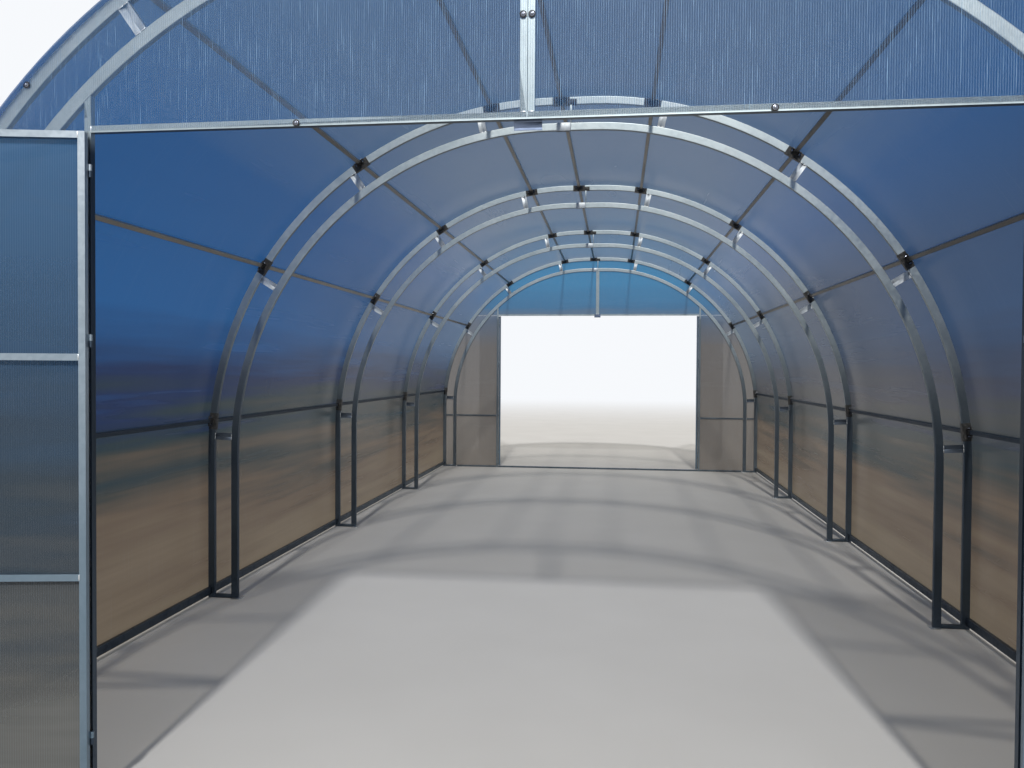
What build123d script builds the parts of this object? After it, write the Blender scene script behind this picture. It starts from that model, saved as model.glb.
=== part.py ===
from build123d import *
import os
from math import cos, degrees, radians, sin, sqrt

# Arched greenhouse of double box-tube arches, clad in twin-wall polycarbonate, with a wide
# double door in each end. The origin is the centre of the front doorway's threshold, on the
# ground. +X is to the right of someone who walks in, +Y runs down the tunnel and +Z is up.
# Lengths are in millimetres and angles in degrees.

# Tunnel
bay_length = 2100.0
bay_count = 4

# Arch profile, measured to the centreline of the inner arch's tube. Each half is one bent
# tube: a straight leg, a quarter bend and a short flat that meets the other half.
inner_half_width = 1846.0
leg_height = 810.0
crown_flat = 108.0
arch_spacing = 134.0
arch_joint_gap = 1.0

# Box tubes
arch_tube_depth = 40.0
tube_width = 20.0
bottom_rail_height = 40.0
bottom_rail_lift = 20.0
fit_gap = 0.3

# Purlins, by their angle round the bend from the horizontal, and the ridge by its X
lower_purlin_angle = 5.3
middle_purlin_angle = 33.2
upper_purlin_angle = 56.9
top_purlin_angle = 80.4
ridge_x = -52.0
purlin_end_gap = 1.0
purlin_seat = 0.1

# Spacers between the two arches, by the length along the arch from the purlin above, and the
# upright plates that tie the two arches together at each side of the crown joint
spacer_width = 38.0
spacer_drop = 64.0
lower_spacer_drop = 79.0
crown_plate_thickness = 3.0

# Feet
foot_length = 60.0
foot_width = 50.0
foot_thickness = 3.0

# Stamped clamps: cheeks and a floor round the arch, a hat-shaped arm round each purlin, and
# ears level with the purlin's middle, where the bolts go
clamp_steel = 2.0
clamp_length = 90.0
clamp_reach = 30.0
clamp_ear = 16.0
clamp_fit = 0.2
clamp_arch_fit = 0.8
clamp_edge_drop = 1.0

# End frames. The lintel hangs below the point where the posts meet the arch.
door_half_width = 1275.0
lintel_drop = 68.6
side_rail_height = 670.0
mullion_gap = 1.0
threshold_height = 20.0

# Sheets
sheet_thickness = 4.0
sheet_joint_gap = 2.0
sheet_lap = 15.0
sheet_ground_gap = 8.0
sheet_overhang = 12.0

# Door leaves, made of welded tube with one sheet on the outer face
leaf_gap = 5.0
leaf_rail_count = 4
front_open_angle = 170.0
rear_open_angle = 111.0

# Weld-on hinges, by their height over the leaf's foot or their drop below its head. Barrels
# and pins are many-sided prisms, to within 0.2 mm of round.
low_hinge_rise = 169.0
middle_hinge_drop = 600.0
top_hinge_drop = 108.0
hinge_sides = 12
hinge_barrel_radius = 6.0
hinge_pin_radius = 3.0
hinge_pin_clearance = 0.05
hinge_length = 37.0
hinge_split = 0.6
hinge_stand_off = 8.0

# Door stops, bent plates on the inner face of each lintel
stop_width = 78.0
stop_thickness = 2.0
stop_drop = 24.0
stop_seat = 16.0
stop_offset = 5.0

tunnel_length = bay_length * bay_count
sheet_margin = tube_width - sheet_lap
hinge_x = door_half_width - leaf_gap / 2
frame_radius = inner_half_width - crown_flat - arch_tube_depth / 2 - fit_gap
post_reach = door_half_width + tube_width - crown_flat
lintel_top = leg_height + sqrt(frame_radius**2 - post_reach**2) - lintel_drop
door_height = lintel_top - tube_width
leaf_low = threshold_height + leaf_gap
leaf_high = door_height - leaf_gap
hinge_heights = (leaf_low + low_hinge_rise, leaf_high - middle_hinge_drop, leaf_high - top_hinge_drop)
leaf_near = leaf_gap / 2
leaf_far = hinge_x - leaf_gap / 2
outer_arch_offset = arch_spacing
arch_face = outer_arch_offset + arch_tube_depth / 2
purlin_offset = arch_face - purlin_seat - tube_width / 2
clamp_floor = arch_face - arch_tube_depth - clamp_arch_fit - purlin_offset
half_tube = tube_width / 2
tall = 2 * (leg_height + inner_half_width)
wide = 3 * inner_half_width
SIDES = {"left": -1, "right": 1}
PURLIN_ANGLES = {
    "lower": lower_purlin_angle,
    "middle": middle_purlin_angle,
    "upper": upper_purlin_angle,
    "top": top_purlin_angle,
}
ENDS = {"front": (0.0, -1, front_open_angle), "rear": (tunnel_length, 1, rear_open_angle)}
STATIONS = [index * bay_length for index in range(bay_count + 1)]


def section_plane(y):
    """Upright plane across the tunnel at y, seen from the front, with its normal to -Y."""
    return Plane.XZ.offset(-y)


def bend_radius(offset):
    """Radius of the quarter bend at an offset outside the inner arch's centreline."""
    return inner_half_width + offset - crown_flat


def bend_point(offset, angle, side):
    """Point on the bend, as X and Z, at an angle from the horizontal."""
    radius = bend_radius(offset)
    return (side * (crown_flat + radius * cos(radians(angle))), leg_height + radius * sin(radians(angle)))


def bend_location(offset, angle, side):
    """Place on the bend whose local X points outwards, square to the arch."""
    turn = angle if side > 0 else 180 - angle
    return Location((*bend_point(offset, angle, side), 0), (0, 0, turn))


def ridge_location(offset):
    """Place on the flat crown at the ridge purlin, with local X pointing up."""
    return Location((ridge_x, leg_height + bend_radius(offset), 0), (0, 0, 90))


def purlin_places(level):
    """Places of the purlin lines at one level: a pair on the bends, or the ridge."""
    if level == "ridge":
        return [ridge_location(purlin_offset)]
    return [bend_location(purlin_offset, PURLIN_ANGLES[level], side) for side in SIDES.values()]


def under_arch(offset, low=0.0):
    """Region below the arch profile at an offset, down to the height low."""
    width = inner_half_width + offset
    radius = bend_radius(offset)
    with BuildSketch() as region:
        with BuildLine():
            Line((width, low), (width, leg_height))
            CenterArc((crown_flat, leg_height), radius, 0, 90)
            Line((crown_flat, leg_height + radius), (-crown_flat, leg_height + radius))
            CenterArc((-crown_flat, leg_height), radius, 90, 90)
            Line((-width, leg_height), (-width, low))
            Line((-width, low), (width, low))
        make_face()
    return region.sketch


def arch_band(offset, depth, low=0.0):
    """Band of an arch tube seen from the front, centred on the profile at an offset."""
    with BuildSketch() as band:
        add(under_arch(offset + depth / 2, low))
        add(under_arch(offset - depth / 2, low), mode=Mode.SUBTRACT)
        with Locations((0, leg_height + bend_radius(offset))):
            Rectangle(arch_joint_gap, 2 * depth, mode=Mode.SUBTRACT)
    return band.sketch


def save(part, name):
    """Label a finished sub-part and write it to its own file."""
    part.label = name
    export_step(part, os.path.join("parts", name + ".step"))


def build_outer_arch(y):
    with BuildPart() as arch:
        with BuildSketch(section_plane(y)):
            add(arch_band(outer_arch_offset, arch_tube_depth))
        extrude(amount=half_tube, both=True)
    return arch.part


def build_inner_arch(y):
    """Inner arch with the spacers, crown plates, ground bars and feet that are welded to it."""
    inner_face = arch_tube_depth / 2
    outer_face = outer_arch_offset - arch_tube_depth / 2 - fit_gap
    crown_plate_x = (arch_joint_gap + crown_plate_thickness) / 2
    with BuildPart() as arch:
        with BuildSketch(section_plane(y)):
            add(arch_band(0, arch_tube_depth))
            for level, angle in PURLIN_ANGLES.items():
                drop = lower_spacer_drop if level == "lower" else spacer_drop
                low = angle - degrees(drop / bend_radius(outer_face / 2))
                with Locations(*[bend_location(outer_face / 2, low, side) for side in SIDES.values()]):
                    Rectangle(outer_face, spacer_width)
            for side in SIDES.values():
                with Locations((side * (inner_half_width + outer_face / 2), threshold_height / 2)):
                    Rectangle(outer_face, threshold_height)
                with Locations((side * crown_plate_x, leg_height + bend_radius(outer_face / 2))):
                    Rectangle(crown_plate_thickness, outer_face)
        extrude(amount=half_tube, both=True)
        with BuildSketch(Plane.XY):
            with Locations(*[(side * (inner_half_width - inner_face / 2), y) for side in SIDES.values()]):
                Rectangle(foot_width, foot_length)
        extrude(amount=foot_thickness)
    return arch.part


def build_purlins(level):
    """Purlins of one level, cut between the arches and flush with their outer face."""
    gap = half_tube + purlin_end_gap
    with BuildPart() as purlins:
        with BuildSketch(*[section_plane(y + gap) for y in STATIONS[:-1]]):
            with Locations(*purlin_places(level)):
                Rectangle(tube_width, tube_width)
        extrude(amount=-(bay_length - 2 * gap))
    return purlins.part


def build_bottom_rails():
    """Rails along both sides, cut between the outer legs and lifted off the ground."""
    gap = half_tube + purlin_end_gap
    x = inner_half_width + arch_face - half_tube
    with BuildPart() as rails:
        with BuildSketch(*[section_plane(y + gap) for y in STATIONS[:-1]]):
            with Locations(*[(side * x, bottom_rail_lift + bottom_rail_height / 2) for side in SIDES.values()]):
                Rectangle(tube_width, bottom_rail_height)
        extrude(amount=-(bay_length - 2 * gap))
    return rails.part


def clamp_cheek_face():
    """Cheek against the arch's side, notched for the purlin."""
    notch = tube_width + 2 * clamp_fit
    high = half_tube - clamp_edge_drop
    low = clamp_floor - clamp_steel
    with BuildSketch() as face:
        with Locations((low, 0)):
            Rectangle(high - low, clamp_length, align=(Align.MIN, Align.CENTER))
        with Locations((-notch / 2, 0)):
            Rectangle(2 * notch, notch, align=(Align.MIN, Align.CENTER), mode=Mode.SUBTRACT)
    return face.sketch


def clamp_arm_face():
    """Hat-shaped section under the purlin, with an ear at each side."""
    inside = half_tube + clamp_fit
    outside = inside + clamp_steel
    with BuildSketch() as face:
        Rectangle(2 * clamp_steel, 2 * (outside + clamp_ear))
        with Locations((-outside, 0)):
            Rectangle(outside, 2 * outside, align=(Align.MIN, Align.CENTER))
        with Locations((-inside, 0)):
            Rectangle(2 * inside, 2 * inside, align=(Align.MIN, Align.CENTER), mode=Mode.SUBTRACT)
    return face.sketch


def build_clamps(y):
    """All clamps of one arch, each with an arm on every side that has a purlin."""
    places = [place for level in (*PURLIN_ANGLES, "ridge") for place in purlin_places(level)]
    ways = [way for way in (-1, 1) if 0 <= y + way * bay_length <= tunnel_length]
    near = half_tube + (clamp_steel if -1 in ways else 0)
    far = half_tube + (clamp_steel if 1 in ways else 0)
    with BuildPart() as clamps:
        with BuildSketch(section_plane(y - near)):
            with Locations(*places):
                with Locations((clamp_floor - clamp_steel, 0)):
                    Rectangle(clamp_steel, clamp_length, align=(Align.MIN, Align.CENTER))
        extrude(amount=-(near + far))
        for way in ways:
            with BuildSketch(section_plane(y + way * half_tube)):
                with Locations(*places):
                    add(clamp_cheek_face())
            extrude(amount=-way * clamp_steel)
            with BuildSketch(section_plane(y + way * half_tube)):
                with Locations(*places):
                    add(clamp_arm_face())
            extrude(amount=-way * clamp_reach)
    return clamps.part


def build_door_frame(y):
    """Two posts, the lintel and the twin mullion over it, welded and cut to the inner arch."""
    with BuildPart() as frame:
        with BuildSketch(section_plane(y)):
            with Locations(*[(side * (door_half_width + half_tube), tall / 2) for side in SIDES.values()]):
                Rectangle(tube_width, tall)
            with Locations((0, door_height + half_tube)):
                Rectangle(2 * door_half_width + tube_width, tube_width)
            with Locations(*[(side * (mullion_gap / 2 + half_tube), lintel_top) for side in SIDES.values()]):
                Rectangle(tube_width, tall, align=(Align.CENTER, Align.MIN))
            add(under_arch(-arch_tube_depth / 2 - fit_gap), mode=Mode.INTERSECT)
        extrude(amount=half_tube, both=True)
    return frame.part


def build_end_rails(y):
    """Threshold, ground rails and side rails of one end, each butted between its neighbours."""
    post_face = door_half_width + tube_width + fit_gap
    inner_leg = inner_half_width - arch_tube_depth / 2
    foot_edge = inner_leg + arch_tube_depth / 4 - foot_width / 2 - fit_gap
    between_low = inner_half_width + arch_tube_depth / 2 + fit_gap
    between_high = inner_half_width + outer_arch_offset - arch_tube_depth / 2 - fit_gap
    spans = [
        (post_face, foot_edge, threshold_height / 2),
        (post_face, inner_leg - fit_gap, side_rail_height),
        (between_low, between_high, side_rail_height),
    ]
    with BuildPart() as rails:
        with BuildSketch(section_plane(y)):
            with Locations((0, threshold_height / 2)):
                Rectangle(2 * (door_half_width - fit_gap), threshold_height)
            for low, high, height in spans:
                with Locations(*[(side * (low + high) / 2, height) for side in SIDES.values()]):
                    Rectangle(high - low, tube_width)
        extrude(amount=half_tube, both=True)
    return rails.part


def build_door_stop(y, out):
    """Bent plate on the lintel's inner face, stood off so that it hangs behind the leaves."""
    seat_low = lintel_top - stop_seat
    drop_low = door_height - stop_drop
    with BuildPart() as stop:
        with BuildSketch(Plane.YZ):
            with BuildLine():
                Polyline(
                    (y - out * half_tube, lintel_top),
                    (y - out * (half_tube + stop_thickness), lintel_top),
                    (y - out * (half_tube + stop_thickness), seat_low),
                    (y - out * (half_tube + stop_offset + stop_thickness), seat_low - stop_offset),
                    (y - out * (half_tube + stop_offset + stop_thickness), drop_low),
                    (y - out * (half_tube + stop_offset), drop_low),
                    (y - out * (half_tube + stop_offset), seat_low - stop_offset),
                    (y - out * half_tube, seat_low),
                    close=True,
                )
            make_face()
        extrude(amount=stop_width / 2, both=True)
    return stop.part


def build_roof_sheet(index):
    """Sheet over one bay, bent round the outer arches from ground to ground."""
    start = STATIONS[index] + sheet_joint_gap / 2
    end = STATIONS[index + 1] - sheet_joint_gap / 2
    edge = half_tube + sheet_thickness + sheet_overhang
    if index == 0:
        start = -edge
    if index == bay_count - 1:
        end = tunnel_length + edge
    with BuildPart() as sheet:
        with BuildSketch(section_plane(start)):
            add(under_arch(arch_face + sheet_thickness, sheet_ground_gap))
            add(under_arch(arch_face, sheet_ground_gap), mode=Mode.SUBTRACT)
        extrude(amount=start - end)
    return sheet.part


def build_gable_sheets(y, out):
    """Two sheets over the lintel, from the mullion out to the arch."""
    near = sheet_joint_gap / 2
    low = lintel_top - sheet_lap
    with BuildPart() as sheets:
        with BuildSketch(section_plane(y + out * half_tube)):
            with Locations(*[(side * (near + wide / 2), low) for side in SIDES.values()]):
                Rectangle(wide, tall, align=(Align.CENTER, Align.MIN))
            add(under_arch(arch_face - fit_gap), mode=Mode.INTERSECT)
        extrude(amount=-out * sheet_thickness)
    return sheets.part


def build_side_sheets(y, out):
    """Sheets beside the doorway, from the ground rail up to the gable sheets."""
    near = door_half_width + sheet_margin
    high = lintel_top - sheet_lap - sheet_joint_gap
    with BuildPart() as sheets:
        with BuildSketch(section_plane(y + out * half_tube)):
            with Locations(*[(side * (near + wide / 2), sheet_margin) for side in SIDES.values()]):
                Rectangle(wide, high - sheet_margin, align=(Align.CENTER, Align.MIN))
            add(under_arch(arch_face - fit_gap), mode=Mode.INTERSECT)
        extrude(amount=-out * sheet_thickness)
    return sheets.part


def leaf_plane(y, out, side, angle):
    """Plane through a leaf's pin axis: local X along the leaf and local Y upwards."""
    along = Vector(-side * cos(radians(angle)), out * sin(radians(angle)), 0)
    origin = (side * hinge_x, y + out * (half_tube + hinge_stand_off), 0)
    return Plane(origin=origin, x_dir=along, z_dir=along.cross(Vector(0, 0, 1)))


def pin_plane(y, out, side, angle, height):
    """Level plane at a pin: local X along the leaf and local Y towards its inner face."""
    along = Vector(-side * cos(radians(angle)), out * sin(radians(angle)), 0)
    origin = (side * hinge_x, y + out * (half_tube + hinge_stand_off), height)
    return Plane(origin=origin, x_dir=along, z_dir=(0, 0, 1))


def hinge_section(inward, bore=0.0):
    """Level section of a knuckle and the lug that is welded to the tube behind it."""
    with BuildSketch() as section:
        RegularPolygon(hinge_barrel_radius, hinge_sides)
        with Locations((leaf_near, 0)):
            Rectangle(sheet_margin - fit_gap, hinge_stand_off, align=(Align.MIN, inward))
        if bore:
            RegularPolygon(bore, hinge_sides, major_radius=False, mode=Mode.SUBTRACT)
    return section.sketch


def build_leaf_frame(y, out, side, angle):
    """Welded leaf: two stiles, four rails and the upper knuckle of each hinge."""
    plane = leaf_plane(y, out, side, angle)
    face = side * out
    rail_pitch = (leaf_high - leaf_low - tube_width) / (leaf_rail_count - 1)
    light = (leaf_far - leaf_near - 2 * tube_width, rail_pitch - tube_width)
    inward = Align.MIN if face > 0 else Align.MAX
    with BuildPart() as frame:
        with BuildSketch(plane.offset(-face * hinge_stand_off)):
            with Locations(((leaf_near + leaf_far) / 2, (leaf_low + leaf_high) / 2)):
                Rectangle(leaf_far - leaf_near, leaf_high - leaf_low)
                with GridLocations(0, rail_pitch, 1, leaf_rail_count - 1):
                    Rectangle(*light, mode=Mode.SUBTRACT)
        extrude(amount=-face * tube_width)
        for height in hinge_heights:
            with BuildSketch(pin_plane(y, out, side, angle, height + hinge_split / 2)):
                add(hinge_section(inward, hinge_pin_radius + hinge_pin_clearance))
            extrude(amount=(hinge_length - hinge_split) / 2)
    return frame.part


def build_leaf_sheet(y, out, side, angle):
    plane = leaf_plane(y, out, side, angle)
    face = side * out
    with BuildPart() as sheet:
        with BuildSketch(plane.offset(-face * hinge_stand_off)):
            with Locations(((leaf_near + leaf_far) / 2, (leaf_low + leaf_high) / 2)):
                Rectangle(leaf_far - leaf_near - 2 * sheet_margin, leaf_high - leaf_low - 2 * sheet_margin)
        extrude(amount=face * sheet_thickness)
    return sheet.part


def build_hinges(y, out):
    """Lower knuckles of one end's hinges on the posts, each with its pin."""
    half = (hinge_length - hinge_split) / 2
    with BuildPart() as hinges:
        for side in SIDES.values():
            inward = Align.MAX if side * out > 0 else Align.MIN
            for height in hinge_heights:
                plane = pin_plane(y, out, side, 180, height - hinge_split / 2)
                with BuildSketch(plane):
                    add(hinge_section(inward))
                extrude(amount=-half)
                with BuildSketch(plane):
                    RegularPolygon(hinge_pin_radius, hinge_sides)
                extrude(amount=half)
    return hinges.part


os.makedirs("parts", exist_ok=True)

for index, y in enumerate(STATIONS, start=1):
    save(build_outer_arch(y), f"outer_arch_{index}")
    save(build_inner_arch(y), f"inner_arch_{index}")
    save(build_clamps(y), f"purlin_clamps_{index}")

for level in (*PURLIN_ANGLES, "ridge"):
    save(build_purlins(level), "purlins_" + level)

save(build_bottom_rails(), "bottom_rails")

for index in range(bay_count):
    save(build_roof_sheet(index), f"roof_sheet_{index + 1}")

for end_name, (y, out, angle) in ENDS.items():
    save(build_door_frame(y), end_name + "_door_frame")
    save(build_end_rails(y), end_name + "_end_rails")
    save(build_door_stop(y, out), end_name + "_door_stop")
    save(build_gable_sheets(y, out), end_name + "_gable_sheets")
    save(build_side_sheets(y, out), end_name + "_side_sheets")
    save(build_hinges(y, out), end_name + "_hinges")
    for side_name, side in SIDES.items():
        leaf_name = f"{end_name}_{side_name}_leaf"
        save(build_leaf_frame(y, out, side, angle), leaf_name + "_frame")
        save(build_leaf_sheet(y, out, side, angle), leaf_name + "_sheet")
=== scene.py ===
import logging
from collections.abc import Mapping, Sequence
from dataclasses import dataclass
from enum import Enum
from math import cos, degrees, pi, radians, sin, sqrt
from typing import Any

import bmesh
import bpy
from mathutils import Matrix, Vector


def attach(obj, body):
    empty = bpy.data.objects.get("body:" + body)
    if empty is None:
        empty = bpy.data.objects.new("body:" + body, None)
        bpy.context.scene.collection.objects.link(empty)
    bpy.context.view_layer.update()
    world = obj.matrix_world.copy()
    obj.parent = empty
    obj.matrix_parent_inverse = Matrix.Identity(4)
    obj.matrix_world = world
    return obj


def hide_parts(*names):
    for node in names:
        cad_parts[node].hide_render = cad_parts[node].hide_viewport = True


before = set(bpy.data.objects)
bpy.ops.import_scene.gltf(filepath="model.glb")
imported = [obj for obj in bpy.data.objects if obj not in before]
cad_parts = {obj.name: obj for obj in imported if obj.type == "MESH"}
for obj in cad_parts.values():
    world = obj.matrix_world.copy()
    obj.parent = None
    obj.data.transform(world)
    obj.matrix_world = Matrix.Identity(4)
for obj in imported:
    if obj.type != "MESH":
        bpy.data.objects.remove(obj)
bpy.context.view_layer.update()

log = logging.getLogger("greenhouse")

Colour = tuple[float, float, float]
Span = tuple[float, float]
Tones = tuple[tuple[float, Colour], ...]

SIDES: dict[str, int] = {"left": -1, "right": 1}
SHELL = "greenhouse"
TUBE, CLAMP, PLATE, SHEET = "galvanized_tube", "clamp_steel", "bright_plate", "twin_wall_sheet"
ACROSS, ALONG, UP = Vector((1.0, 0.0, 0.0)), Vector((0.0, 1.0, 0.0)), Vector((0.0, 0.0, 1.0))
BACKDROP = (0.93, 0.95, 0.98, 1.0)

# Colours of the sheets by height, as a share of the tunnel's height. All but the outside tones are
# the painted sky and ground seen through the sheets.
GROUND_TONES: Tones = ((0.0, (0.180, 0.142, 0.098)), (0.17, (0.128, 0.094, 0.066)))
ROOF_TONES: Tones = (
    *GROUND_TONES, (0.29, (0.050, 0.052, 0.048)), (0.37, (0.020, 0.038, 0.048)),
    (0.45, (0.006, 0.022, 0.085)), (0.57, (0.010, 0.098, 0.290)), (0.80, (0.010, 0.082, 0.250)),
    (0.95, (0.080, 0.140, 0.245)))
FRONT_TONES: Tones = (*GROUND_TONES, (0.5, (0.008, 0.045, 0.15)), (1.0, (0.008, 0.065, 0.22)))
REAR_TONES: Tones = (
    (0.0, (0.115, 0.100, 0.085)), (0.58, (0.105, 0.095, 0.088)), (0.72, (0.07, 0.10, 0.15)),
    (0.77, (0.010, 0.100, 0.220)), (0.88, (0.010, 0.145, 0.300)))
LEAF_TONES: Tones = (
    (0.0, (0.095, 0.095, 0.090)), (0.15, (0.055, 0.056, 0.054)), (0.33, (0.015, 0.025, 0.037)),
    (0.52, (0.016, 0.046, 0.095)), (0.72, (0.026, 0.082, 0.178)))
OUTSIDE_TONES: Tones = (
    (0.0, (0.27, 0.285, 0.295)), (0.4, (0.27, 0.31, 0.35)), (0.9, (0.33, 0.38, 0.43)))


class CellRun(Enum):
    """Which way the cells of a twin-wall sheet run."""

    ROUND_THE_ARCH = "Y"
    UPRIGHT = "X"

    @property
    def comb(self) -> tuple[float, float, float]:
        """Scale of the painted highlight streaks that follow the cells."""
        return (520.0, 520.0, 9.0) if self is CellRun.UPRIGHT else (2.0, 110.0, 2.0)


class End(Enum):
    """An end of the tunnel: its name, the way out along Y and the angle its leaves stand open."""

    FRONT = ("front", -1, 170.0)
    REAR = ("rear", 1, 111.0)

    @property
    def title(self) -> str:
        """Name of the end, as the nodes have it."""
        return self.value[0]

    @property
    def out(self) -> int:
        """Way out of the tunnel along Y."""
        return self.value[1]

    @property
    def open_angle(self) -> float:
        """Angle in degrees by which the leaves stand open."""
        return self.value[2]


class Graph:
    """A node tree that is filled through one method."""

    def __init__(self, tree: bpy.types.NodeTree) -> None:
        """Keep the tree."""
        self.tree = tree

    def node(self, kind: str, settings: Mapping[str, Any] | None = None,
             inputs: Mapping[Any, Any] | None = None, output: Any = 0) -> "Signal":
        """Add one node.

        Args:
            kind: The node's type.
            settings: Its properties, set before its sockets; "stops" are a ramp's.
            inputs: Values or signals, by socket name or number.
            output: Name or number of the output to return.

        Returns:
            The output as a signal.
        """
        made = self.tree.nodes.new(kind)
        for key, value in (settings or {}).items():
            if key == "stops":
                self._set_stops(made.color_ramp, value)
            else:
                setattr(made, key, value)
        for key, value in (inputs or {}).items():
            if isinstance(value, Signal):
                self.tree.links.new(value.socket, made.inputs[key])
            else:
                made.inputs[key].default_value = value
        return Signal(self, made.outputs[output] if made.outputs else None, made)

    @staticmethod
    def _set_stops(ramp: bpy.types.ColorRamp, stops: Tones) -> None:
        """Give a colour ramp its stops.

        Args:
            ramp: The ramp, with its two first stops.
            stops: Place and colour of each stop, in order.
        """
        while len(ramp.elements) < len(stops):
            ramp.elements.new(1.0)
        for element, (place, colour) in zip(ramp.elements, stops):
            element.position = place
            element.color = (*colour, 1.0)


class Signal:
    """An output socket with arithmetic on it."""

    def __init__(self, graph: Graph, socket: Any, owner: bpy.types.Node) -> None:
        """Wrap a socket.

        Args:
            graph: The tree that the socket is in.
            socket: The socket itself.
            owner: The node that it belongs to.
        """
        self.graph = graph
        self.socket = socket
        self.owner = owner

    def output(self, name: str) -> "Signal":
        """Another output of the same node."""
        return Signal(self.graph, self.owner.outputs[name], self.owner)

    def maths(self, operation: str, first: Any, second: Any = 0.0) -> "Signal":
        """A Math node of two values."""
        return self.graph.node("ShaderNodeMath", {"operation": operation}, {0: first, 1: second})

    def __add__(self, other: Any) -> "Signal":
        """Sum."""
        return self.maths("ADD", self, other)

    def __radd__(self, other: Any) -> "Signal":
        """Sum with a number on the left."""
        return self.maths("ADD", other, self)

    def __sub__(self, other: Any) -> "Signal":
        """Difference."""
        return self.maths("SUBTRACT", self, other)

    def __rsub__(self, other: Any) -> "Signal":
        """Difference with a number on the left."""
        return self.maths("SUBTRACT", other, self)

    def __mul__(self, other: Any) -> "Signal":
        """Product."""
        return self.maths("MULTIPLY", self, other)

    def __rmul__(self, other: Any) -> "Signal":
        """Product with a number on the left."""
        return self.maths("MULTIPLY", other, self)

    def __pow__(self, power: float) -> "Signal":
        """Power."""
        return self.maths("POWER", self, power)

    def sine(self) -> "Signal":
        """Sine, of an angle in radians."""
        return self.maths("SINE", self)

    def clamped(self, low: float = 0.0, high: float = 1.0) -> "Signal":
        """The value kept between two limits."""
        return self.graph.node("ShaderNodeClamp", {}, {"Value": self, "Min": low, "Max": high})

    def band(self, low: float, high: float) -> "Signal":
        """A smooth step from 0 at low to 1 at high."""
        return self.graph.node("ShaderNodeMapRange", {"interpolation_type": "SMOOTHSTEP"},
                               {"Value": self, "From Min": low, "From Max": high})

    def part(self, axis: str) -> "Signal":
        """One coordinate of a vector; the node's other outputs are the other two."""
        return self.graph.node("ShaderNodeSeparateXYZ", {}, {0: self}, axis)


class Surface(Graph):
    """A material's tree, with its Principled shader and the patterns that the finishes share."""

    def __init__(self, name: str, **constants: Any) -> None:
        """Make the material.

        Args:
            name: The material's name.
            **constants: Constant sockets of the shader, with underscores for spaces.
        """
        self.material = bpy.data.materials.new(name)
        self.material.use_nodes = True
        self.material.cycles.emission_sampling = "NONE"
        super().__init__(self.material.node_tree)
        self.shader = next(n for n in self.tree.nodes if n.type == "BSDF_PRINCIPLED")
        for key, value in constants.items():
            self.shader.inputs[key.replace("_", " ")].default_value = value
        self.place = self.node("ShaderNodeTexCoord", output="Object")

    def feed(self, name: str, signal: Signal) -> None:
        """Link a signal to one of the shader's sockets."""
        self.tree.links.new(signal.socket, self.shader.inputs[name])

    def turned(self, turn: float) -> Signal:
        """Object coordinates, turned about Z."""
        return self.node("ShaderNodeMapping", {}, {"Vector": self.place, "Rotation": (0, 0, turn)})

    def stretched(self, scale: Sequence[float], turn: float) -> Signal:
        """Object coordinates, turned about Z and then scaled along each axis."""
        return self.node("ShaderNodeVectorMath", {"operation": "MULTIPLY"},
                         {0: self.turned(turn), 1: tuple(scale)})

    def noise(self, vector: Signal, scale: float, detail: float = 3.0,
              roughness: float = 0.55) -> Signal:
        """Soft noise from 0 to 1."""
        return self.node("ShaderNodeTexNoise", {}, {
            "Vector": vector, "Scale": scale, "Detail": detail, "Roughness": roughness})

    def mix(self, share: Any, first: Any, second: Any) -> Signal:
        """The colour that holds a share of the second and the rest of the first."""
        pair = [value if isinstance(value, Signal) else (*value, 1.0) for value in (first, second)]
        return self.node("ShaderNodeMix", {"data_type": "RGBA"},
                         {0: share, 6: pair[0], 7: pair[1]}, 2)

    def blend(self, share: Signal, other: Signal) -> None:
        """Put a second shader in for a share of the first one.

        Args:
            share: Share of the second shader.
            other: The second shader.
        """
        own = Signal(self, self.shader.outputs[0], self.shader)
        both = self.node("ShaderNodeMixShader", {}, {0: share, 1: own, 2: other})
        end = next(n for n in self.tree.nodes if n.type == "OUTPUT_MATERIAL")
        self.tree.links.new(both.socket, end.inputs["Surface"])

    def bump(self, height: Signal, distance: float, strength: float) -> None:
        """Feed the shader's normal from a height of 0 to 1 over a distance in metres."""
        self.feed("Normal", self.node("ShaderNodeBump", {}, {
            "Height": height, "Distance": distance, "Strength": strength}))


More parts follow.
